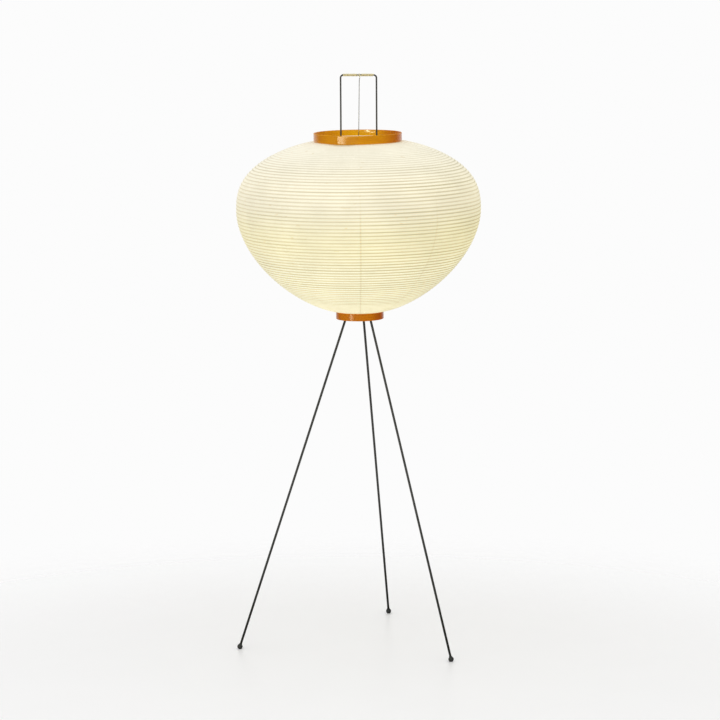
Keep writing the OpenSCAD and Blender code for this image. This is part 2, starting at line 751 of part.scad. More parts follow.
module bulb_cap() {
    r = cap_d / 2;
    color([0.78, 0.79, 0.8]) rotate_extrude($fn = round_fn)
        polygon([[0, cap_z], [r - screw_shoulder, cap_z], [r, cap_z + screw_shoulder],
                 [r, cap_top], [r - cap_t, cap_top], [r - cap_t, cap_top - glass_in - hair],
                 [0, cap_top - glass_in - hair]]);
}

module bulb_insulator() {
    color([0.06, 0.06, 0.07]) translate([0, 0, tip_z + contact_h])
        cylinder(d1 = contact_d, d2 = cap_d - 2 * screw_shoulder, h = insulator_h, $fn = round_fn);
}

module bulb_contact() {
    color([0.7, 0.7, 0.68]) translate([0, 0, tip_z])
        cylinder(d1 = contact_d * contact_taper, d2 = contact_d, h = contact_h, $fn = round_fn);
}

hub_plate();
leg_sockets();
socket_screws();
leg(left_turn);  // leg_left
leg(right_turn);  // leg_right
leg(back_turn);  // leg_back
foot(left_turn);  // foot_left
foot(right_turn);  // foot_right
foot(back_turn);  // foot_back
handle_frame();
frame_nuts();
handle_wrap_left();
handle_wrap_right();
hanger_hook();
nipple();
nipple_nut();
cord_bush();
holder_washer();
holder_base();
holder_shell();
holder_insert();
holder_thread();
contact_leaf();
terminal_screws();
top_ring();
lower_ring();
paper_shade();
bamboo_hoops();
bridge_wire();
bulb_glass();
bulb_cap();
bulb_insulator();
bulb_contact();
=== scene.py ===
"""Looks of the paper lantern floor lamp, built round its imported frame.

Lengths are metres, +Z is up and X runs along the handle bar. Azimuths are degrees from +X, and 270
is the side that faces the camera. Pieces of the lantern are made upright and then lean a little.
"""
import math

import bmesh
import bpy
import numpy as np
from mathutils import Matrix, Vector


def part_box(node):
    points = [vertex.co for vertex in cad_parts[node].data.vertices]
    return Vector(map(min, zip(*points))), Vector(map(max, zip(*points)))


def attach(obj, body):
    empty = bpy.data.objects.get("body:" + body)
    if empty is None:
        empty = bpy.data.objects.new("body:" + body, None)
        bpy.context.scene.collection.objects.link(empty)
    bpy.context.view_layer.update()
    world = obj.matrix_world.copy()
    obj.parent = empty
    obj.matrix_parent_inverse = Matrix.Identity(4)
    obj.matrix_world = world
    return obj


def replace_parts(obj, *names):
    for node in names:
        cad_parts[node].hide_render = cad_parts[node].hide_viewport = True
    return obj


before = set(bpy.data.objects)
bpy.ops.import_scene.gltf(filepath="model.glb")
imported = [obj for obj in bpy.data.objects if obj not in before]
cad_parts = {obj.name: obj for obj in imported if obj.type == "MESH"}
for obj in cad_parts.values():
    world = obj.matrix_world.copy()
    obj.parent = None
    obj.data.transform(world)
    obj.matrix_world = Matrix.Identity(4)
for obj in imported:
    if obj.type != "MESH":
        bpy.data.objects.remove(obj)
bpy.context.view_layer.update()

MM = 0.001

# Camera, as fitted to the photograph's 720 x 720 frame
CAMERA_AT = (0.0003, -6.5067, 1.5872)
CAMERA_PITCH = 8.476  # degrees down
CAMERA_LENS = 153.15  # on a 36 mm sensor
SENSOR = 36.0

# Measures of the lantern that the frame doesn't give
BELLY_ABOVE_RING = 217 * MM
SHOULDER = (1.36, 2.66)  # roundness outwards and upwards, above the belly
BOWL = (1.49, 1.79)  # the same below it
HOOP_PITCH = 7.8 * MM
PAPER_T = 0.35 * MM
NECK = 5 * MM
RING_T = 3 * MM
LAP_T = 0.8 * MM
HAIR = 0.1 * MM
LEAN = 0.7  # degrees towards -X, as the lantern hangs in the photograph
LEAN_ROOM = 0.9 * MM  # by which the paper is drawn in, so that it leans inside the frame's box
HANDLE_LEAN = 0.33  # degrees towards -X, as the handle stands over its hub plate there

# Seams between the paper's gores. Three show in the photograph and the others are spaced like them.
SEEN_SEAMS = (232.5, 270.9, 308.8)
HIDDEN_SEAMS = 6
GORES = len(SEEN_SEAMS) + HIDDEN_SEAMS

SEED = 7
rng = np.random.default_rng(SEED)


# ---- Meshes ----

def make_piece(name, points, faces, body, material, uv=None):
    """A smooth mesh piece from arrays. uv holds one pair for each corner of each face."""
    mesh = bpy.data.meshes.new(name)
    mesh.from_pydata([tuple(p) for p in points], [], [tuple(f) for f in faces])
    if uv is not None:
        layer = mesh.uv_layers.new(name="along")
        layer.data.foreach_set("uv", np.asarray(uv, np.float32).ravel())
    mesh.polygons.foreach_set("use_smooth", [True] * len(mesh.polygons))
    mesh.validate()
    mesh.materials.append(material)
    piece = bpy.data.objects.new(name, mesh)
    bpy.context.scene.collection.objects.link(piece)
    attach(piece, body)
    return piece


def grid_faces(rows, columns, flip=False):
    """Quads between the rows of a grid of points that closes round."""
    i, j = np.divmod(np.arange((rows - 1) * columns), columns)
    k = (j + 1) % columns
    quads = np.stack([i * columns + j, i * columns + k, (i + 1) * columns + k, (i + 1) * columns + j], -1)
    return quads[:, ::-1] if flip else quads


def loop_faces(rows, columns, start=0):
    """Quads between the rows of a grid of points that closes both round and from its last row to its first."""
    i, j = np.divmod(np.arange(rows * columns), columns)
    k, after = (j + 1) % columns, (i + 1) % rows
    return np.stack([i * columns + j, i * columns + k, after * columns + k, after * columns + j], -1) + start


def leaned(points):
    """Points of the lantern, turned about the middle of its lower ring by the angle it hangs at."""
    p = np.asarray(points, float).copy()
    a = math.radians(LEAN)
    x, z = p[..., 0].copy(), p[..., 2] - pivot_z
    p[..., 0] = x * math.cos(a) - z * math.sin(a)
    p[..., 2] = pivot_z + z * math.cos(a) + x * math.sin(a)
    return p


def swayed(points):
    """Points of the handle and of what it carries, moved towards -X by their height above the hub plate."""
    p = np.asarray(points, float).copy()
    p[..., 0] -= np.clip(p[..., 2] - hub_z, 0, None) * math.tan(math.radians(HANDLE_LEAN))
    return p


def waves(angle, count, size, rough=1.0):
    """Smooth round-and-round wander of an angle in radians, about size high."""
    total = np.zeros_like(angle)
    for k in range(1, count + 1):
        total += np.sin(k * angle + rng.uniform(0, 2 * math.pi)) * rng.uniform(0.4, 1) / k ** rough
    return total * size


# ---- Outline of the lantern ----

ring_low, ring_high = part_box("lower_ring")
top_low, top_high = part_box("top_ring")
belly_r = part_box("paper_shade")[1].x - LEAN_ROOM
pivot_z = (ring_low.z + ring_high.z) / 2
hub_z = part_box("hub_plate")[1].z
low_out_r, top_out_r = ring_high.x, top_high.x
low_in_r, top_in_r = low_out_r - RING_T, top_out_r - RING_T
belly_z = ring_high.z + BELLY_ABOVE_RING


def outline(turn):
    """Radius and height of the paper for a turn from -90 degrees at the lower ring to 90 at the top."""
    turn = np.radians(turn)
    up = turn >= 0
    ring_r = np.where(up, top_in_r, low_in_r) - HAIR
    ring_z = np.where(up, top_low.z - HAIR, ring_high.z + HAIR)
    out_n = np.where(up, SHOULDER[0], BOWL[0])
    rise_n = np.where(up, SHOULDER[1], BOWL[1])
    radius = ring_r + (belly_r - ring_r) * np.clip(np.cos(turn), 0, None) ** (2 / out_n)
    height = belly_z + (ring_z - belly_z) * np.abs(np.sin(turn)) ** (2 / rise_n)
    return radius, height


FINE = np.linspace(-90, 90, 2401)
fine_r, fine_z = outline(FINE)
fine_run = np.concatenate([[0], np.cumsum(np.hypot(np.diff(fine_r), np.diff(fine_z)))])
spans = round(fine_run[-1] / HOOP_PITCH)
pitch = fine_run[-1] / spans
belly_span = float(np.interp(0, FINE, fine_run)) / pitch


def on_outline(run):
    """Radius, height and the outward direction (in radius and height) at a length along the outline."""
    step = pitch / 4
    r, z = np.interp(run, fine_run, fine_r), np.interp(run, fine_run, fine_z)
    dr = np.interp(run + step, fine_run, fine_r) - np.interp(run - step, fine_run, fine_r)
    dz = np.interp(run + step, fine_run, fine_z) - np.interp(run - step, fine_run, fine_z)
    size = np.hypot(dr, dz)
    return r, z, dz / size, -dr / size


def seam_azimuths():
    """Azimuths of all seams in degrees, from the leftmost one that shows."""
    gap = (360 - (SEEN_SEAMS[-1] - SEEN_SEAMS[0])) / (HIDDEN_SEAMS + 1)
    hidden = [SEEN_SEAMS[-1] + gap * (i + 1) for i in range(HIDDEN_SEAMS)]
    return list(SEEN_SEAMS) + hidden


# ---- Laps of the wooden rings ----

TOP_LAP, LOW_LAP = 242.8, 100.0  # azimuths at which the outer ends begin
LAP_SPAN = 48.0
SPRUNG = 5.7  # over which the lap's outer end has sprung straight, so that it stands off a little
RING_EDGE = 0.75 * MM  # radius of a ring's edges
BEVEL = 0.9 * MM  # by which the upper half of a ring's inner face is rounded away
RING_COLUMNS = 288
DIP = 1.1 * MM  # how far the lapped end of the top ring sits down into the paper
DIP_SHIFT, DIP_SPREAD = 6.0, 20.0


def eased(value, low, high):
    """0 below low, 1 above high and smooth between them."""
    t = np.clip((value - low) / (high - low), 0, 1)
    return t * t * (3 - 2 * t)


def lap_dip(azimuth):
    """How far the top ring sits lower at an azimuth in radians."""
    away = (np.degrees(azimuth) - TOP_LAP - DIP_SHIFT + 180) % 360 - 180
    return DIP * np.exp(-(away / DIP_SPREAD) ** 2)


# ---- Paper and hoops ----

GORE_COLUMNS = 20
SPAN_ROWS = (0, 0.1, 0.34, 0.66, 0.9)
INNER_ROWS = (0, 0.5)
DRAW = 0.7 * MM  # how far the paper draws in between two hoops
HOOP_WANDER = 0.55 * MM
END_SPANS = 4  # over which the hoops settle into the line of a ring
PRESSED_SPANS = 5  # over which the top ring's lapped end presses the paper down


def paper_columns():
    """Azimuth of each column of the paper's grid in radians, and its place between seams."""
    seams = seam_azimuths() + [SEEN_SEAMS[0] + 360]
    azimuth, gore = [], []
    for i in range(len(seams) - 1):
        share = np.arange(GORE_COLUMNS) / GORE_COLUMNS
        azimuth.append(seams[i] + (seams[i + 1] - seams[i]) * share)
        gore.append(i + share)
    return np.radians(np.concatenate(azimuth)), np.concatenate(gore)


columns, gores = paper_columns()


def hoop_wander():
    """How far each hoop lies from its even place, for each column, as hand-laid bamboo does."""
    shared = [waves(columns, 4, 0.5) for _ in range(2)]
    result = []
    for i in range(spans + 1):
        mood = i / spans * 5
        own = waves(columns, 5, 0.28, rough=0.7) + rng.normal(0, 0.3)
        value = (shared[0] * math.sin(mood) + shared[1] * math.cos(mood) + own) * HOOP_WANDER
        settle = min(1, i / END_SPANS, (spans - i) / END_SPANS)
        result.append(value * settle)
    return np.array(result)


wander = hoop_wander()


def wandered(v):
    """Length along the outline for every column at a row v, which counts in hoops."""
    i = min(int(v), spans - 1)
    f = v - i
    return v * pitch + wander[i] * (1 - f) + wander[i + 1] * f


def skin_rows(fractions, depth, sag):
    """Rows of points of the paper from ring to ring, and each row's place counted in hoops."""
    places = [i + f for i in range(spans) for f in fractions] + [float(spans)]
    rows = []
    for v in places:
        r, z, out_r, out_z = on_outline(wandered(v))
        f = v - int(v)
        draw = DRAW * sag[int(v) % spans] * (1 - abs(2 * f - 1) ** 2.2)
        pressed = lap_dip(columns) * eased(v, spans - PRESSED_SPANS, spans)
        r, z = r - out_r * (draw + depth), z - out_z * (draw + depth) - pressed
        rows.append(np.stack([r * np.cos(columns), r * np.sin(columns), z], -1))
    return np.array(rows), places


def make_paper(material):
    """The paper as one closed shell: its outer face, a neck in each ring and its inner face."""
    sag = [waves(columns, 6, 0.1, rough=0.5) + rng.uniform(0.85, 1.05) for _ in range(spans)]
    outer, places = skin_rows(SPAN_ROWS, 0, sag)
    inner, inner_places = skin_rows(INNER_ROWS, PAPER_T, sag)

    def collar(r, z):
        return np.stack([r * np.cos(columns), r * np.sin(columns), np.full_like(columns, z)], -1)[None]

    low_r, high_r = low_in_r - HAIR, top_in_r - HAIR
    low_z, high_z = ring_high.z - NECK, top_low.z + NECK
    shell = np.concatenate([collar(low_r, low_z), outer, collar(high_r, high_z),
                            collar(high_r - PAPER_T, high_z), inner[::-1], collar(low_r - PAPER_T, low_z)])
    across = np.concatenate([[-0.5], places, [spans + 0.5] * 2, inner_places[::-1], [-0.5]])
    faces = loop_faces(len(shell), len(columns))
    row, column = np.divmod(faces, len(columns))
    past_last = (column == 0) & (column[:, :1] != 0)
    u = np.where(past_last, GORES, gores[column])
    return make_piece("paper_skin", leaned(shell.reshape(-1, 3)), faces, "lantern", material,
                      np.stack([u, across[row]], -1).reshape(-1, 2))


RIB_W = 1.5 * MM
RIB_T = 1.0 * MM
RIB_SECTION = ((-0.5, 0), (-0.3, 0.45), (0.3, 0.45), (0.5, 0), (0.3, -0.5), (-0.3, -0.5))


def make_hoops(material):
    """Split-bamboo hoops, a little thicker at their joints, glued inside the crests of the paper."""
    keep = columns[::2]
    points, faces = [], []
    for i in range(1, spans):
        r, z, out_r, out_z = on_outline(wandered(float(i))[::2])
        swell = 1 + 0.06 * waves(keep, 8, 1, rough=0.3)
        rings = []
        for along, out in RIB_SECTION:
            off = (out - 0.5) * RIB_T * swell - PAPER_T - HAIR
            side = along * RIB_W * swell
            rr, zz = r + out_r * off - out_z * side, z + out_z * off + out_r * side
            rings.append(np.stack([rr * np.cos(keep), rr * np.sin(keep), zz], -1))
        faces.extend(loop_faces(len(RIB_SECTION), len(keep), len(points)))
        points.extend(np.array(rings).reshape(-1, 3))
    return make_piece("bamboo_ribs", leaned(points), np.array(faces), "lantern", material)


# ---- Rings, rods and wires ----

def make_ring(name, node, lap_at, dips, material):
    """A ring bent from one strip of wood, scarfed where its outer end laps over the inner one. Each
    point of its section is a radius and a height for every column. Its UV map runs along the strip
    and across it, from the outer upper edge over the rim, down the inner face and up the outer one."""
    low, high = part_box(node)
    out_r = min(high.x, high.y)
    turn = np.radians(np.arange(RING_COLUMNS) * 360 / RING_COLUMNS + lap_at)
    along = np.degrees(turn) - lap_at
    sprung = out_r * (1 / np.cos(np.radians(np.clip(SPRUNG - along, 0, None))) - 1)
    thick = RING_T + LAP_T * (1 - eased(along, LAP_SPAN * 0.35, LAP_SPAN)) + sprung + waves(turn, 7, 0.05 * MM)
    inner = out_r - RING_T + waves(turn, 3, 0.12 * MM)
    outer = inner + thick
    dip = lap_dip(turn) if dips else 0
    top = high.z - 0.25 * MM + waves(turn, 5, 0.1 * MM) - 0.35 * dip
    under = low.z + 0.04 * MM + waves(turn, 5, 0.03 * MM) - dip
    face_h = top - under - 2 * RING_EDGE

    def corner(r, z, in_r, in_z, angles):
        return [(r + in_r * RING_EDGE * (1 - math.cos(a)), z + in_z * RING_EDGE * (1 - math.sin(a)))
                for a in np.radians(angles)]

    rising, falling = (0, 30, 60, 90), (90, 60, 30, 0)
    loop = corner(outer, top, -1, -1, rising) + corner(inner + BEVEL, top, 1, -1, falling)
    loop += [(inner + BEVEL * max(0, 1 - 2 * f) ** 2, top - RING_EDGE - face_h * f)
             for f in np.linspace(0, 1, 11)[1:-1]]
    loop += corner(inner, under, 1, 1, rising) + corner(outer, under, -1, 1, falling)
    loop += [(outer, under + RING_EDGE + face_h * f) for f in np.linspace(0, 1, 9)[1:-1]]
    points = np.array([np.stack([r * np.cos(turn), r * np.sin(turn), z], -1) for r, z in loop])
    sides = [np.hypot(np.mean(a[0] - b[0]), np.mean(a[1] - b[1])) for a, b in zip(loop, loop[1:] + loop[:1])]
    across = np.concatenate([[0], np.cumsum(sides)])
    i, j = np.divmod(np.arange(len(loop) * RING_COLUMNS), RING_COLUMNS)
    u = np.stack([j, j + 1, j + 1, j], -1) * math.radians(360 / RING_COLUMNS) * out_r
    v = across[np.stack([i, i, i + 1, i + 1], -1)]
    piece = make_piece(name, leaned(points.reshape(-1, 3)), loop_faces(len(loop), RING_COLUMNS),
                       "lantern", material, np.stack([u, v], -1).reshape(-1, 2))
    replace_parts(piece, node)


END_ANGLES = (0.25, 1.3)  # at which the rings that round off the end of a wire stand, in radians


def sweep(name, path, section, body, material, lean=False, reference=(1, 0, 0)):
    """A closed tube along a path. Section points are (along the reference, away from it) in metres,
    and each end closes over a few rings that shrink."""
    path, section = np.asarray(path, float), np.asarray(section, float)
    along = np.gradient(path, axis=0)
    along /= np.linalg.norm(along, axis=1)[:, None]
    out = np.cross(np.array(reference, float), along)
    out /= np.linalg.norm(out, axis=1)[:, None]
    side = np.cross(along, out)
    size = np.abs(section).max()
    places = [(0, -math.cos(a) * size * 0.6, math.sin(a)) for a in END_ANGLES]
    places += [(i, 0, 1) for i in range(len(path))]
    places += [(len(path) - 1, math.cos(a) * size * 0.6, math.sin(a)) for a in reversed(END_ANGLES)]
    rings = []
    for i, push, scale in places:
        rings.append(path[i] + along[i] * push + section[:, :1] * scale * side[i] + section[:, 1:] * scale * out[i])
    m = len(section)
    points = np.concatenate(rings + [[rings[0].mean(0)], [rings[-1].mean(0)]])
    faces = [tuple(f) for f in grid_faces(len(rings), m, flip=True)]
    first, last = len(rings) * m, len(rings) * m + 1
    for j in range(m):
        faces.append((first, j, (j + 1) % m))
        faces.append((last, (len(rings) - 1) * m + (j + 1) % m, (len(rings) - 1) * m + j))
    run = np.concatenate([[0], np.cumsum(np.linalg.norm(np.diff(points[:len(rings) * m:m], axis=0), axis=1))])
    uv = []
    for f in faces:
        for k in f:
            row, col = divmod(k, m) if k < first else (0 if k == first else len(rings) - 1, 0)
            if col == 0 and any(c % m == m - 1 and c < first for c in f):
                col = m
            uv.append((run[row], col / m * size * 6))
    points = leaned(points) if lean else points
    return make_piece(name, points, faces, body, material, uv)


def circle(radius, count):
    """Section of a round wire."""
    a = np.arange(count) * 2 * math.pi / count
    return np.stack([radius * np.cos(a), radius * np.sin(a)], -1)


WIRE_D = 3.5 * MM
HOOK_D = 1.35 * MM
BRIDGE_D = 2.0 * MM
BRIDGE_SAG = 0.15 * MM
RUN_GAP = 0.3 * MM
EYE_PITCH = 2.0 * MM
EYE_TURNS = 1.5
HOOK_NECK = 14 * MM  # over which the hanger's stem comes in under the bar
HOOK_TIP = 3 * MM
BAR_BEND = 6 * MM
END_ROUND = 1.2 * MM  # room for the rounded end of a wire
EYE_SHIFT = 1.5 * MM  # of the hanger's eye from the bar's middle
HOOK_SHIFT = -2.4 * MM  # where the leaning lantern draws the hook
STRIP_W, STRIP_T = 2.95 * MM, 0.85 * MM
STRIP_PITCH = 3.2 * MM
STRIP_FROM = {-1: 0.9 * MM, 1: 3.9 * MM}  # from the bar's middle, on either side of the hanger's eye
STRIP_REACH = {-1: 34.6 * MM, 1: 32.5 * MM}  # from the bar's middle, into the bend on the left
STRIP_SECTION = ((1, 0), (0.9, 0.55), (0.6, 0.9), (0.2, 1), (-0.2, 1), (-0.6, 0.9), (-0.9, 0.55), (-1, 0),
                 (-0.92, -0.8), (-0.5, -1), (0.5, -1), (0.92, -0.8))  # in halves of its width and thickness


def make_bridge(material):
    """The wire across the top ring, which sags a little."""
    low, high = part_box("bridge_wire")
    y, z = (low.y + high.y) / 2, (low.z + high.z) / 2
    reach = high.x - END_ROUND
    path = [(x, y, z - BRIDGE_SAG * (1 - (x / high.x) ** 2)) for x in np.linspace(-reach, reach, 33)]
    piece = sweep("bridge_rod", path, circle(BRIDGE_D / 2, 14), "lantern", material, lean=True,
                  reference=(0, 1, 0))
    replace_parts(piece, "bridge_wire")


def bar_line(run):
    """Middle line of the handle and its upward normal, for lengths along it from the bar's middle. It
    follows the two bends and then goes straight down."""
    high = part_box("handle_frame")[1]
    half, bar_z = high.x - WIRE_D / 2, high.z - WIRE_D / 2
    run = np.asarray(run, float)
    side, straight = np.sign(run), half - BAR_BEND
    turn = np.clip((np.abs(run) - straight) / BAR_BEND, 0, math.pi / 2)
    down = np.clip(np.abs(run) - straight - BAR_BEND * math.pi / 2, 0, None)
    x = side * (np.minimum(np.abs(run), straight) + BAR_BEND * np.sin(turn))
    z = bar_z - BAR_BEND * (1 - np.cos(turn)) - down
    zero = np.zeros_like(x)
    return np.stack([x, zero, z], -1), np.stack([side * np.sin(turn), zero, np.cos(turn)], -1)


def make_handle(material):
    """One wire, bent to an upside-down U, that leans a little as it does in the photograph."""
    low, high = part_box("handle_frame")
    bend = high.x - WIRE_D / 2 - BAR_BEND
    down = bend + BAR_BEND * math.pi / 2
    foot = down + high.z - WIRE_D / 2 - BAR_BEND - low.z - END_ROUND
    half = np.concatenate([np.linspace(0, bend, 9), bend + (down - bend) * np.arange(1, 15) / 14,
                           np.linspace(down, foot, 28)[1:]])
    line, _ = bar_line(np.concatenate([-half[:0:-1], half]))
    piece = sweep("handle_wire", swayed(line), circle(WIRE_D / 2, 24), "stand", material,
                  reference=(0, 1, 0))
    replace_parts(piece, "handle_frame")


def make_hanger(material):
    """One wire: an eye wound round the handle bar, a straight stem and a hook under the bridge rod."""
    bar_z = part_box("handle_frame")[1].z - WIRE_D / 2
    low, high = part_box("bridge_wire")
    y, z = (low.y + high.y) / 2, (low.z + high.z) / 2
    eye_r = WIRE_D / 2 + RUN_GAP + HOOK_D / 2
    half = EYE_PITCH * EYE_TURNS / 2
    turns = np.linspace(EYE_TURNS, 0, 73)[:-1] * 2 * math.pi
    path = [(EYE_SHIFT + half - EYE_PITCH * t / (2 * math.pi), -eye_r * math.cos(t), bar_z + eye_r * math.sin(t))
            for t in turns]
    ease = [(t, (1 + math.cos(math.pi * t)) / 2) for t in np.linspace(0, 1, 17)]
    path += [(EYE_SHIFT + half * off, -eye_r * off, bar_z - HOOK_NECK * t) for t, off in ease]
    path = [tuple(point) for point in swayed(path)]
    stem_z, hook_z = bar_z - HOOK_NECK, z + y - HOOK_D / 2 - BRIDGE_D / 2 - RUN_GAP
    start, end = path[-1][0], HOOK_SHIFT
    path += [(start + (end - start) * t, 0, stem_z + (hook_z - stem_z) * t) for t in np.linspace(0, 1, 24)[1:-1]]
    path += [(end, y * (1 - math.cos(t)), hook_z - y * math.sin(t)) for t in np.linspace(0, math.pi, 25)]
    path += [(end, 2 * y, hook_z + HOOK_TIP * t) for t in (0.5, 1)]
    piece = sweep("hanger_wire", path, circle(HOOK_D / 2, 12), "stand", material)
    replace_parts(piece, "hanger_hook")


def make_wrap(side, material):
    """Flat rattan strip wound round one half of the bar, with its outer face rounded."""
    node = "handle_wrap_right" if side > 0 else "handle_wrap_left"
    first = STRIP_FROM[side] + STRIP_W / 2
    last = STRIP_REACH[side] - STRIP_W / 2
    turns = (last - first) / STRIP_PITCH
    t = np.linspace(0, 1, int(turns * 40))
    a = t * turns * 2 * math.pi
    wobble = waves(a / 6, 6, 0.07 * MM, rough=0.4)
    r = WIRE_D / 2 + HAIR + STRIP_T / 2 + np.abs(waves(a / 4, 5, 0.03 * MM, rough=0.4))
    middle, up = bar_line(side * (first + (last - first) * t + wobble))
    path = middle - up * (r * np.sin(a))[:, None]
    path[:, 1] = -r * np.cos(a)
    path = swayed(path)
    section = [(w * STRIP_W / 2, h * STRIP_T / 2) for w, h in STRIP_SECTION]
    piece = sweep("rattan_right" if side > 0 else "rattan_left", path, section,
                  "stand", material)
    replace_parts(piece, node)


THREAD_PITCH = 3.6 * MM
THREAD_DEPTH = 0.9 * MM
CAP_COLUMNS = 72
CAP_FOOT, CAP_NECK = 2.2 * MM, 4.5 * MM  # plain lengths below and above the thread
CAP_TAPER = 0.9 * MM


def make_bulb_cap(material):
    """The bulb's screw cap with its rolled thread, closed over at both ends."""
    low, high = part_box("bulb_cap")
    r, tall, n = high.x, high.z - low.z, CAP_COLUMNS
    turn = np.arange(n) * 2 * math.pi / n

    def ring(radius, z):
        return np.stack([radius * np.cos(turn), radius * np.sin(turn), np.full(n, z)], -1)

    rings = [ring(r * f, low.z + up * MM) for f, up in ((0.02, 0.0), (0.75, 0.0), (0.90, 0.25))]
    thread_top = tall - CAP_NECK
    for h in np.linspace(0.9 * MM, tall, 61):
        depth = THREAD_DEPTH * eased(h, 0.6 * MM, CAP_FOOT + 1 * MM)
        depth *= 1 - eased(h, thread_top, thread_top + 1.5 * MM)
        groove = 0.5 - 0.5 * np.cos(turn - h / THREAD_PITCH * 2 * math.pi)
        rings.append(ring(r - CAP_TAPER * (1 - eased(h, 0, CAP_FOOT)) - depth * groove, low.z + h))
    rings += [ring(r * f, high.z + up * MM) for f, up in ((0.965, -0.05), (0.95, -1.0), (0.02, -1.0))]
    points = np.concatenate(rings)
    faces = [tuple(f) for f in grid_faces(len(rings), n)]
    faces.append(tuple(range(n))[::-1])
    faces.append(tuple((len(rings) - 1) * n + k for k in range(n)))
    piece = make_piece("bulb_cap_threaded", points, faces, "bulb", material)
    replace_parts(piece, "bulb_cap")


# ---- Materials ----

def times(colour, factor, more=0.0):
    """A colour with its parts multiplied by one number or by three, and then raised."""
    factors = factor if isinstance(factor, tuple) else (factor,) * 3
    return tuple(min(1, part * k + more) for part, k in zip(colour, factors))


class Shader:
    """A material on the Principled shader, with short ways to add nodes and to join them."""

    def __init__(self, name, **sockets):
        self.material = bpy.data.materials.new(name)
        self.material.use_nodes = True
        self.tree = self.material.node_tree
        self.surface = self.tree.nodes["Principled BSDF"]
        self.set(**sockets)

    def put(self, node, inputs):
        for key, value in inputs.items():
            socket = node.inputs[key]
            if isinstance(value, bpy.types.NodeSocket):
                self.tree.links.new(value, socket)
            elif isinstance(value, tuple) and len(value) == 3 and socket.type == "RGBA":
                socket.default_value = (*value, 1)
            else:
                socket.default_value = value

    def add(self, kind, inputs=None, output=0, **settings):
        node = self.tree.nodes.new("ShaderNode" + kind)
        for key, value in settings.items():
            setattr(node, key, value)
        self.put(node, inputs or {})
        return node.outputs[output]

    def set(self, **sockets):
        self.put(self.surface, {key.replace("_", " "): value for key, value in sockets.items()})

    def math(self, operation, a, b=0.0, c=0.0):
        return self.add("Math", {0: a, 1: b, 2: c}, operation=operation)

    def product(self, first, *others):
        for other in others:
            first = self.math("MULTIPLY", first, other)
        return first

    def away(self, value, middle):
        """Distance of a value from a middle."""
        return self.math("ABSOLUTE", self.math("SUBTRACT", value, middle))

    def fit(self, value, low, high, to_low=0.0, to_high=1.0, smooth=True):
        return self.add("MapRange", {"Value": value, "From Min": low, "From Max": high, "To Min": to_low,
                                     "To Max": to_high}, interpolation_type="SMOOTHSTEP" if smooth else "LINEAR")

    def mix(self, share, a, b, blend="MIX"):
        return self.add("Mix", {0: share, 6: a, 7: b}, 2, data_type="RGBA", blend_type=blend)

    def layered(self, colour, *layers):
        """A colour with others laid over it, each by its own share."""
        for share, layer in layers:
            colour = self.mix(share, colour, layer)
        return colour

    def noise(self, vector, scale, detail=3.0, roughness=0.5):
        return self.add("TexNoise", {"Vector": vector, "Scale": scale, "Detail": detail, "Roughness": roughness})

    def place(self):
        """Position in the piece's own space, which is the frame's at rest."""
        return self.add("TexCoord", output=3)

    def along(self):
        """Place on the piece's UV map."""
        return self.add("UVMap", uv_map="along")

    def split(self, vector):
        """The three numbers of a vector."""
        node = self.tree.nodes.new("ShaderNodeSeparateXYZ")
        self.put(node, {0: vector})
        return node.outputs

    def stretch(self, vector, scale):
        return self.add("Mapping", {"Vector": vector, "Scale": scale})

    def bump(self, height, distance, strength=1.0, normal=None):
        inputs = {"Height": height, "Distance": distance, "Strength": strength}
        if normal is not None:
            inputs["Normal"] = normal
        return self.add("Bump", inputs)


GLOBE_R = 30 * MM
BULB_AT = (0.0, 0.0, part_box("bulb_glass")[1].z - GLOBE_R)
BULB_POWER = 0.62
GLOW, GLOW_NEAR = 0.38, 0.0012  # light that comes through the paper: even part, and part that falls with distance
BOWL_SPAN = 22.0  # hoops up to the part of the bowl where their lines show most
SEAM_WEIGHT = 0.6
SEAM_MORE = ((0, -0.35), (1, 0.7), (2, 0.3), (GORES, -0.35))  # numbers of seams, and what they have more


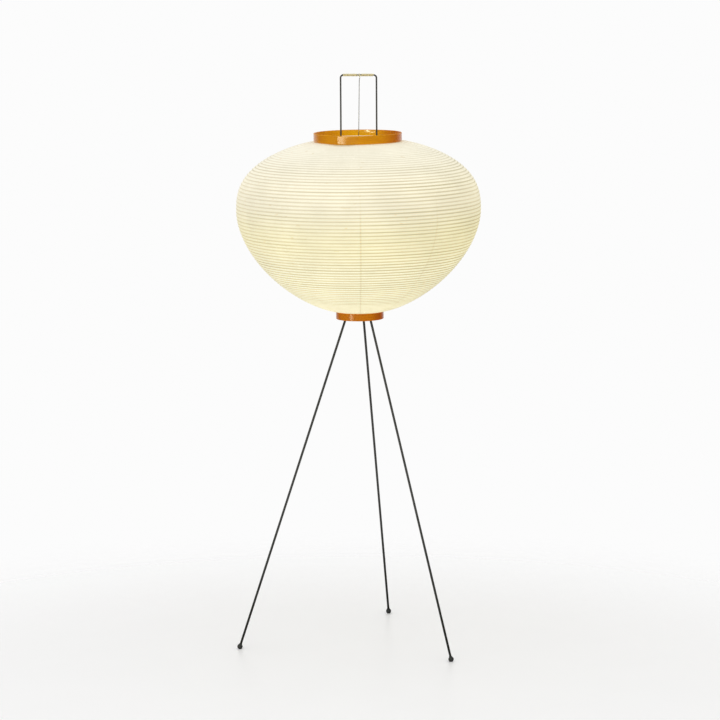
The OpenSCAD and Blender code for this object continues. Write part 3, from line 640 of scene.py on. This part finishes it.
def paper_material():
    """Handmade paper over bamboo: fibres, clouding, glued seams, hoop lines that are partly painted shade, and the
    bulb's glow. Its UV map counts seams round the lantern and hoops up it. Heights and widths are metres."""
    s = Shader("lantern_paper", Roughness=0.78, Specular_IOR_Level=0.28, Sheen_Weight=0.12, Sheen_Roughness=0.5)
    place = s.place()
    x, y, z = s.split(place)
    u, v, _ = s.split(s.along())
    radius = s.math("SQRT", s.math("ADD", s.product(x, x), s.product(y, y)))

    # How strongly a hoop's line shows: by distance from the hoop, by height, in patches and by side. The line is
    # partly the bamboo seen through the paper and partly painted shade of the ribs. It is made stronger on the
    # right and in the bowl, and weaker at the top, bottom, belly and outline, as the light falls.
    hoop_mm = s.product(s.math("PINGPONG", v, 0.5), pitch / MM)
    patchy = s.noise(s.stretch(place, (3.0, 3.0, 120.0)), 1.0, 2.0)
    outermost = s.product(s.fit(s.math("ABSOLUTE", x), 0.19, 0.25, 0.0, 0.34),
                          s.fit(v, belly_span - 3.0, belly_span + 5.0))
    line = s.product(s.fit(hoop_mm, 0.6, 2.4, 1.0, 0.0),
                     s.fit(v, 3.0, 14.0, 0.62, 1.08), s.fit(v, spans - 25.0, spans - 6.0, 1.0, 0.2),
                     s.fit(s.away(v, belly_span), 4.0, 16.0, 0.73, 0.96),
                     s.fit(s.away(v, BOWL_SPAN), 3.0, 11.0, 1.25, 1.0),
                     s.fit(patchy, 0.3, 0.7, 0.72, 1.15),
                     s.fit(x, -0.12, 0.12, 0.93, 1.22), s.math("SUBTRACT", 1.0, outermost))

    # How strongly a seam between gores shows: with ragged edges, by its own weight and less above the belly
    gore_mm = s.product(s.math("PINGPONG", u, 0.5), radius, math.radians(360 / GORES) / MM)
    ragged = s.math("ADD", gore_mm, s.fit(s.noise(place, 260.0, 3.0), 0.0, 1.0, -0.35, 0.35))
    number = s.math("ROUND", u)
    weight = SEAM_WEIGHT
    for which, more in SEAM_MORE:
        weight = s.math("ADD", weight, s.product(s.math("COMPARE", number, float(which), 0.1), more))
    seam = s.product(s.fit(ragged, 1.3, 2.1, 1.0, 0.0), weight,
                     s.fit(v, belly_span - 4.0, belly_span + 8.0, 1.0, 0.1))

    # Long pale fibres, short dark flecks and soft clouding
    cloud = s.noise(place, 11.0, 4.0, 0.6)
    fine = s.noise(place, 420.0, 4.0, 0.65)
    swirl = s.add("TexNoise", {"Vector": place, "Scale": 22.0, "Detail": 2.0}, 1)
    warp = s.mix(0.012, place, swirl, "ADD")
    level_hair = s.fit(s.noise(s.stretch(warp, (90.0, 90.0, 520.0)), 1.0, 1.0), 0.62, 0.68)
    other_hair = s.fit(s.noise(s.stretch(warp, (340.0, 110.0, 110.0)), 1.0, 1.0), 0.66, 0.70)
    fibre = s.math("MAXIMUM", level_hair, other_hair)
    fleck = s.fit(s.noise(s.stretch(warp, (70.0, 70.0, 190.0)), 1.0, 0.0), 0.81, 0.845)
    colour = s.layered(s.mix(s.fit(cloud, 0.3, 0.7), (0.750, 0.729, 0.645), (0.795, 0.780, 0.71)),
                       (s.fit(fine, 0.35, 0.65, 0.0, 0.35), (0.835, 0.828, 0.77)),
                       (s.product(fibre, 0.35), (0.865, 0.858, 0.80)),
                       (s.product(fleck, 0.34), (0.50, 0.36, 0.20)),
                       (s.product(seam, 0.4), (0.56, 0.52, 0.40)),
                       # hoop lines: bamboo colour and painted shade of the ribs
                       (s.product(line, 0.85), (0.45, 0.42, 0.30)))

    # The bulb's light through the paper, which falls off with distance and is held back by hoops and seams
    reach = s.add("VectorMath", {0: place, 1: BULB_AT}, 1, operation="DISTANCE")
    near = s.math("DIVIDE", GLOW_NEAR, s.product(reach, reach))
    even = s.product(s.fit(z, 0.84, 0.97, GLOW * 1.075, GLOW * 0.9), s.fit(z, 0.99, 1.075, 1.0, 0.55))
    held = s.math("ADD", line, s.product(seam, 0.3))
    glow = s.product(s.math("ADD", near, even), s.fit(held, 0.0, 1.3, 1.0, 0.62, False),
                     s.fit(cloud, 0.25, 0.75, 0.9, 1.1))
    warmth = s.layered((1.0, 0.865, 0.36), (s.fit(z, 0.82, 0.89), (1.0, 0.835, 0.25)),
                       (s.fit(z, 0.90, 0.98), (1.0, 0.845, 0.45)))

    relief = s.math("ADD", s.product(fine, 0.5), s.product(fibre, 0.35))
    relief = s.math("ADD", relief, s.product(seam, 0.9))
    s.set(Base_Color=colour, Emission_Color=warmth, Emission_Strength=glow,
          Normal=s.bump(relief, 0.12 * MM, 0.8))
    return s.material


# Colours of each ring: dark and light of the grain, and the deep tone of its pores and blotches. The lower ring's
# colours are darker than the top ring's.
TOP_STAIN = (0.745, 0.285, 0.003), (0.90, 0.41, 0.006), (0.58, 0.18, 0.003)
LOW_STAIN = (0.62, 0.185, 0.003), (0.78, 0.265, 0.004), (0.47, 0.115, 0.002)


def wood_material(name, stain, node, gloss):
    """Bent, stained and varnished wood. Its grain runs along the strip."""
    dark, light, deep = stain
    s = Shader(name, Coat_Roughness=0.18, Coat_IOR=1.33, Specular_IOR_Level=0.04)
    low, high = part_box(node)
    tall, half = high.z - low.z, high.x
    along, place = s.along(), s.place()
    u, v, _ = s.split(along)
    x = s.split(place)[0]
    drift = s.noise(s.stretch(along, (14.0, 60.0, 1.0)), 1.0, 2.0)
    wavy = s.math("ADD", v, s.fit(drift, 0.0, 1.0, -0.9 * MM, 0.9 * MM, False))
    grain_at = s.add("CombineXYZ", {0: u, 1: wavy, 2: 0.0})
    broad = s.noise(s.stretch(grain_at, (9.0, 900.0, 1.0)), 1.0, 3.0, 0.6)
    fine = s.noise(s.stretch(grain_at, (60.0, 4200.0, 1.0)), 1.0, 2.0, 0.6)
    pore = s.fit(s.noise(s.stretch(grain_at, (130.0, 2600.0, 1.0)), 1.0, 1.0), 0.63, 0.70)
    blotch = s.noise(s.stretch(along, (26.0, 45.0, 1.0)), 1.0, 3.0, 0.6)

    # The inner face is painted lighter and yellower in its middle, as painted light, and the sides are painted
    # darker, most on the right, as painted shade. Along the edges the varnish is rubbed thin and the colour is
    # lighter, which is partly wear and partly a painted highlight of the rim.
    inside = s.product(s.fit(v, 2.4 * MM, 4.4 * MM), s.fit(v, tall + 1 * MM, tall + 3 * MM, 1.0, 0.0),
                       s.fit(s.math("ABSOLUTE", x), half * 0.15, half * 0.75, 1.0, 0.0), 0.85)
    beside = s.math("ADD", s.fit(x, half * 0.35, half * 0.9, 0.0, 0.9), s.fit(x, -half, -half * 0.7, 0.35, 0.0))
    pointed = s.add("NewGeometry", output=7)
    worn_edge_highlight = s.product(s.fit(pointed, 0.515, 0.56), s.fit(s.noise(place, 130.0, 3.0), 0.3, 0.65, 0.75, 1.0))
    colour = s.layered(s.mix(s.fit(broad, 0.3, 0.7), dark, light),
                       (s.fit(fine, 0.35, 0.7, 0.0, 0.5), deep),
                       (s.fit(blotch, 0.42, 0.75, 0.0, 0.28), deep),
                       (s.product(pore, 0.45), times(deep, 0.45)),
                       # painted light on the middle of the inner face
                       (inside, times(light, (1.08, 1.22, 0.6))),
                       # painted shade towards the sides, strongest on the right
                       (beside, times(deep, (1.0, 0.8, 1.0))),
                       # edges painted lighter: rubbed wear and a painted highlight of the rim
                       (s.product(worn_edge_highlight, 0.8), times(light, 1.3, 0.015)))
    rim = s.fit(v, 2.0 * MM, 3.2 * MM, 0.3, 1.0)
    varnish = s.product(s.fit(worn_edge_highlight, 0.0, 0.9, gloss, 0.0), rim)
    height = s.math("ADD", s.product(fine, 0.5), s.product(broad, 0.5))
    s.set(Base_Color=colour, Roughness=s.fit(broad, 0.3, 0.7, 0.42, 0.58), Coat_Weight=varnish,
          Normal=s.bump(height, 0.06 * MM, 0.6),
          Coat_Normal=s.bump(s.noise(place, 75.0, 4.0, 0.6), 0.05 * MM, 0.35))
    return s.material


def painted_steel(name, low_colour, high_colour, rough=0.36, grain=0.02 * MM):
    """Black stove enamel on wire: fine orange peel and fine dust. Its colour is painted lighter the higher it is,
    as painted light, and the dust shows more the higher it is."""
    s = Shader(name, Specular_IOR_Level=0.1)
    place = s.place()
    z = s.split(place)[2]
    peel = s.noise(place, 900.0, 2.0)
    dust = s.noise(place, 46.0, 5.0, 0.62)
    # painted light: the colour goes from low_colour to high_colour with height, and is lighter again above 0.6 m
    raised = s.fit(z, -0.02, 0.38)
    rub = s.fit(s.noise(s.stretch(place, (180.0, 180.0, 60.0)), 1.0, 4.0), 0.70, 0.76)
    tone = s.layered(low_colour, (raised, high_colour), (s.fit(z, 0.6, 1.1), times(high_colour, 1.4)),
                     (s.product(raised, s.fit(dust, 0.35, 0.72, 0.0, 0.4)), times(high_colour, 1.3, 0.01)),
                     (s.product(rub, raised, 0.12), (0.16, 0.155, 0.145)))
    s.set(Base_Color=tone, Roughness=s.fit(dust, 0.3, 0.75, rough - 0.03, rough + 0.08),
          Normal=s.bump(peel, grain, 0.5))
    return s.material


METAL_STREAK = (900.0, 900.0, 60.0)
METAL_TARNISH = (0.3, 0.27, 0.22)


def bare_metal(name, colour, rough, thread=0.0, rubbed=None):
    """Plated or plain metal with drawn streaks and a little tarnish. If asked for, it has a rolled thread
    of that pitch, or is rubbed to a bright colour above a height."""
    s = Shader(name, Metallic=1.0)
    place = s.place()
    x, y, z = s.split(place)
    lines = s.noise(s.stretch(place, METAL_STREAK), 1.0, 2.0)
    patch = s.noise(place, 120.0, 4.0, 0.6)
    tone = s.mix(s.fit(patch, 0.45, 0.8, 0.0, 0.55), colour, times(colour, METAL_TARNISH))
    normal = s.bump(lines, 0.015 * MM, 0.5)
    if rubbed:
        from_z, bright = rubbed
        tone = s.mix(s.fit(z, from_z, from_z + 2 * MM), tone, bright)
    if thread:
        turn = s.math("DIVIDE", s.math("ARCTAN2", y, x), 2 * math.pi)
        wave = s.math("PINGPONG", s.math("SUBTRACT", s.math("DIVIDE", z, thread), turn), 0.5)
        normal = s.bump(s.fit(wave, 0.0, 0.5), thread * 0.22, 1.0, normal)
    s.set(Base_Color=tone, Roughness=s.fit(lines, 0.3, 0.7, rough * 0.8, rough * 1.25), Normal=normal)
    return s.material


def rattan_material():
    """Split rattan: fibres along the strip, and darker nodes and patches."""
    s = Shader("rattan_strip", Specular_IOR_Level=0.45, Coat_Weight=0.25, Coat_Roughness=0.3)
    along, place = s.along(), s.place()
    fibre = s.noise(s.stretch(along, (60.0, 5200.0, 1.0)), 1.0, 3.0, 0.6)
    patch = s.noise(place, 160.0, 3.0)
    dark = s.fit(s.noise(s.stretch(along, (240.0, 900.0, 1.0)), 1.0, 2.0), 0.6, 0.72)
    colour = s.layered(s.mix(s.fit(fibre, 0.32, 0.68), (0.70, 0.59, 0.29), (0.86, 0.77, 0.46)),
                       (s.fit(patch, 0.4, 0.7, 0.0, 0.3), (0.66, 0.54, 0.26)),
                       (s.product(dark, 0.3), (0.40, 0.30, 0.14)))
    s.set(Base_Color=colour, Roughness=s.fit(fibre, 0.3, 0.7, 0.38, 0.58), Normal=s.bump(fibre, 0.08 * MM, 0.8))
    return s.material


def bamboo_material():
    """Split bamboo: long fibres, and patches that have darkened."""
    s = Shader("split_bamboo", Roughness=0.5, Specular_IOR_Level=0.4)
    place = s.place()
    fibre = s.noise(s.stretch(place, (60.0, 60.0, 2600.0)), 1.0, 3.0, 0.6)
    patch = s.noise(place, 26.0, 3.0)
    colour = s.layered(s.mix(s.fit(fibre, 0.3, 0.7), (0.52, 0.38, 0.17), (0.72, 0.57, 0.30)),
                       (s.fit(patch, 0.4, 0.7, 0.0, 0.35), (0.38, 0.26, 0.11)))
    s.set(Base_Color=colour, Normal=s.bump(fibre, 0.05 * MM, 0.8))
    return s.material


def plastic_material(name, colour, rough, grain=0.03 * MM, scale=700.0):
    """Moulded plastic, rubber or dark glass: fine grain, faint dust in it and softly varied gloss."""
    s = Shader(name, Specular_IOR_Level=0.45)
    place = s.place()
    texture = s.noise(place, scale, 3.0)
    dust = s.noise(place, 70.0, 4.0, 0.62)
    s.set(Base_Color=s.mix(s.fit(dust, 0.4, 0.75, 0.0, 0.5), colour, times(colour, 1.5, 0.02)),
          Roughness=s.fit(dust, 0.3, 0.7, rough - 0.06, rough + 0.1), Normal=s.bump(texture, grain, 0.6))
    return s.material


def porcelain_material():
    """White glazed porcelain with a few dark specks."""
    s = Shader("glazed_porcelain", Coat_Weight=0.6, Coat_Roughness=0.12, Specular_IOR_Level=0.5)
    place = s.place()
    body = s.noise(place, 90.0, 4.0)
    speck = s.fit(s.noise(place, 520.0, 1.0), 0.72, 0.76)
    colour = s.layered(s.mix(s.fit(body, 0.3, 0.7), (0.80, 0.78, 0.71), (0.88, 0.87, 0.82)),
                       (s.product(speck, 0.4), (0.35, 0.30, 0.24)))
    s.set(Base_Color=colour, Roughness=s.fit(body, 0.3, 0.7, 0.25, 0.4), Normal=s.bump(body, 0.08 * MM, 0.4))
    return s.material


def opal_material():
    """Opal glass with the lit filament's warmth strongest round the globe and less towards its neck."""
    s = Shader("opal_glass", Roughness=0.2, Specular_IOR_Level=0.5, Coat_Weight=0.5, Coat_Roughness=0.04)
    place = s.place()
    reach = s.add("VectorMath", {0: place, 1: BULB_AT}, 1, operation="DISTANCE")
    cloud = s.noise(place, 60.0, 3.0)
    power = s.product(s.fit(reach, GLOBE_R, GLOBE_R + 20 * MM, 1.0, 0.2),
                      s.fit(cloud, 0.3, 0.7, 0.94, 1.06), BULB_POWER)
    s.set(Base_Color=s.mix(s.fit(cloud, 0.3, 0.7), (0.60, 0.575, 0.51), (0.66, 0.64, 0.58)),
          Emission_Color=(1.0, 0.74, 0.34), Emission_Strength=power)
    return s.material


# ---- The lamp ----

def dress(material, *nodes):
    """Gives the frame's own nodes a material."""
    for name in nodes:
        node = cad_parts[name]
        if not node.material_slots:
            node.data.materials.append(material)
        for held in node.material_slots:
            held.material = material


RUBBED_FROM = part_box("handle_frame")[1].z - 8 * MM  # above which the hanger's eye is rubbed bright

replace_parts(make_paper(paper_material()), "paper_shade")
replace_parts(make_hoops(bamboo_material()), "bamboo_hoops")
make_ring("top_ring_wood", "top_ring", TOP_LAP, True,
          wood_material("varnished_wood_top", TOP_STAIN, "top_ring", 1.0))
make_ring("lower_ring_wood", "lower_ring", LOW_LAP, False,
          wood_material("varnished_wood_low", LOW_STAIN, "lower_ring", 0.75))
wire = bare_metal("dull_wire", (0.17, 0.14, 0.11), 0.42, rubbed=(RUBBED_FROM, (0.82, 0.72, 0.50)))
make_bridge(wire)
make_hanger(wire)
rattan = rattan_material()
make_wrap(-1, rattan)
make_wrap(1, rattan)
make_bulb_cap(bare_metal("cap_aluminium", (0.80, 0.80, 0.80), 0.28))

enamel = painted_steel("black_enamel", (0.008, 0.008, 0.007), (0.056, 0.056, 0.052))
make_handle(enamel)
dress(enamel, "leg_left", "leg_right", "leg_back", "hub_plate", "leg_sockets")
dress(bare_metal("zinc_plate", (0.62, 0.61, 0.58), 0.34), "socket_screws", "frame_nuts", "holder_washer")
dress(plastic_material("black_rubber", (0.007, 0.007, 0.007), 0.62, 0.05 * MM, 420.0),
      "foot_left", "foot_right", "foot_back")
dress(bare_metal("brass", (0.72, 0.50, 0.20), 0.3, thread=1.0 * MM), "nipple")
dress(bare_metal("brass_plain", (0.74, 0.52, 0.22), 0.3), "nipple_nut", "contact_leaf", "terminal_screws")
dress(bare_metal("brass_shell", (0.76, 0.55, 0.25), 0.27, thread=THREAD_PITCH), "holder_thread")
dress(plastic_material("phenolic_black", (0.020, 0.018, 0.016), 0.3), "holder_base", "holder_shell", "cord_bush")
dress(porcelain_material(), "holder_insert")
dress(opal_material(), "bulb_glass")
dress(plastic_material("black_glass", (0.008, 0.008, 0.010), 0.12, 0.01 * MM, 300.0), "bulb_insulator")
dress(bare_metal("solder", (0.66, 0.65, 0.62), 0.4), "bulb_contact")


# ---- Studio ----

FLOOR_R = 4.0
FLOOR_TONE = (0.908, 0.909, 0.93)
FLOOR_SOLID, FLOOR_GONE = 0.7, 1.65  # radii over which the floor fades into the white of the studio
FLOOR_MIDDLE = (0.0, -0.45, 0.0)  # from which they are measured
BACKDROP = 0.973  # white that the camera sees
HORIZON, ZENITH, BELOW = 0.38, 1.32, 0.55  # strength of the light by where it comes from
BESIDE = 0.84  # light from either side, as a share of the light from front and back
WARM_SIDE = (0.98, 0.83)  # green and blue in the light from the right
GLOSS_BRIGHT, GLOSS_DARK = 0.92, 0.05  # what gloss mirrors all round, and low in front
LIGHT_AWAY = 3.0
WARM_BOX = (0.92, 1.0, 0.76)
SOFTBOXES = (  # name, azimuth, height, height aimed at, size, power, seen in gloss or by matt surfaces, colour
    ("key_softbox", 227, 0.85, 0.9, (0.46, 1.5), 34, True, WARM_BOX),
    ("key_edge", 234.5, 0.85, 0.9, (0.34, 1.5), 12, True, WARM_BOX),
    ("rim_softbox", 242, 1.85, 1.1, (0.4, 0.6), 42, True, WARM_BOX),
    ("front_softbox", 257, 1.3, 0.9, (1.8, 1.8), 9.5, False, (1, 1, 1)))


def make_floor():
    """Pale floor that fades into white, and isn't there when it is looked at from below."""
    s = Shader("studio_floor", Roughness=0.36, Specular_IOR_Level=0.35)
    place = s.place()
    s.set(Base_Color=s.mix(s.fit(s.noise(place, 6.0, 3.0), 0.3, 0.7), FLOOR_TONE, times(FLOOR_TONE, 1.006)))
    spot = s.add("VectorMath", {0: place, 1: FLOOR_MIDDLE}, 1, operation="DISTANCE")
    from_below = s.add("NewGeometry", output=6)
    gone = s.math("MAXIMUM", s.fit(spot, FLOOR_SOLID, FLOOR_GONE), from_below)
    blend = s.add("MixShader", {0: gone, 1: s.surface.outputs[0], 2: s.add("BsdfTransparent")})
    s.put(s.tree.nodes["Material Output"], {"Surface": blend})
    mesh = bpy.data.meshes.new("floor")
    shape = bmesh.new()
    bmesh.ops.create_circle(shape, cap_ends=True, segments=128, radius=FLOOR_R)
    shape.to_mesh(mesh)
    shape.free()
    mesh.materials.append(s.material)
    floor = bpy.data.objects.new("floor", mesh)
    bpy.context.scene.collection.objects.link(floor)


def make_world():
    """White behind the lamp for the camera. What lights it comes softly from all round and most from
    above, and its gloss mirrors a studio that is dark low in front, round the camera."""
    world = bpy.data.worlds.new("studio")
    bpy.context.scene.world = world
    world.use_nodes = True
    tree = world.node_tree
    nodes = tree.nodes
    nodes.clear()

    def added(kind, *inputs, **settings):
        """A node with its inputs set in order. None leaves one as it is."""
        node = nodes.new("ShaderNode" + kind)
        for key, value in settings.items():
            setattr(node, key, value)
        for socket, value in zip(node.inputs, inputs):
            if isinstance(value, bpy.types.NodeSocket):
                tree.links.new(value, socket)
            elif value is not None:
                socket.default_value = value
        return node

    def ranged(value, low, high, to_low, to_high, smooth=True):
        return added("MapRange", value, low, high, to_low, to_high,
                     interpolation_type="SMOOTHSTEP" if smooth else "LINEAR").outputs[0]

    def joined(operation, a, b=None):
        return added("Math", a, b, operation=operation).outputs[0]

    def background(strength, colour=(1, 1, 1, 1)):
        return added("Background", colour, strength).outputs[0]

    def chosen(share, a, b):
        return added("MixShader", share, a, b).outputs[0]

    spot = added("TexCoord").outputs["Generated"]
    x, y, z = added("SeparateXYZ", spot).outputs
    rays = added("LightPath").outputs
    dark = joined("MULTIPLY", ranged(y, 0.45, 0.88, 1.0, 0.0), ranged(z, 0.15, 0.65, 1.0, 0.0))
    mirrored = joined("SUBTRACT", GLOSS_BRIGHT, joined("MULTIPLY", dark, GLOSS_BRIGHT - GLOSS_DARK))
    above = ranged(z, 0.0, 1.0, HORIZON, ZENITH, False)
    below = ranged(z, -0.25, 0.0, BELOW - HORIZON, 0.0, False)
    beside = ranged(joined("ABSOLUTE", x), 0.3, 1.0, 1.0, BESIDE)
    warm = added("CombineColor", 1.0, *(ranged(x, 0.1, 0.9, 1.0, part) for part in WARM_SIDE)).outputs[0]
    around = background(joined("MULTIPLY", joined("ADD", above, below), beside), warm)
    lit = chosen(rays["Is Glossy Ray"], around, background(mirrored))
    added("OutputWorld", chosen(rays["Is Camera Ray"], lit, background(BACKDROP)))


def add_light(name, azimuth, height, aim, size, power, gloss, colour):
    """A softbox that is seen either in gloss only or by matt surfaces only."""
    data = bpy.data.lights.new(name, "AREA")
    data.shape = "RECTANGLE"
    data.size, data.size_y = size
    data.energy = power
    data.color = colour
    light = bpy.data.objects.new(name, data)
    light.visible_diffuse, light.visible_glossy = not gloss, gloss
    turn = math.radians(azimuth)
    at = Vector((LIGHT_AWAY * math.cos(turn), LIGHT_AWAY * math.sin(turn), height))
    light.location = at
    light.rotation_euler = (Vector((0, 0, aim)) - at).to_track_quat("-Z", "Y").to_euler()
    bpy.context.scene.collection.objects.link(light)


def make_camera():
    """The camera that was fitted to the photograph."""
    data = bpy.data.cameras.new("camera")
    data.sensor_width = SENSOR
    data.lens = CAMERA_LENS
    data.clip_start, data.clip_end = 0.1, 100
    camera = bpy.data.objects.new("camera", data)
    camera.location = CAMERA_AT
    camera.rotation_euler = (math.radians(90 - CAMERA_PITCH), 0, 0)
    bpy.context.scene.collection.objects.link(camera)
    bpy.context.scene.camera = camera


make_floor()
make_world()
make_camera()
for softbox in SOFTBOXES:
    add_light(*softbox)
bpy.context.scene.view_settings.view_transform = "Standard"
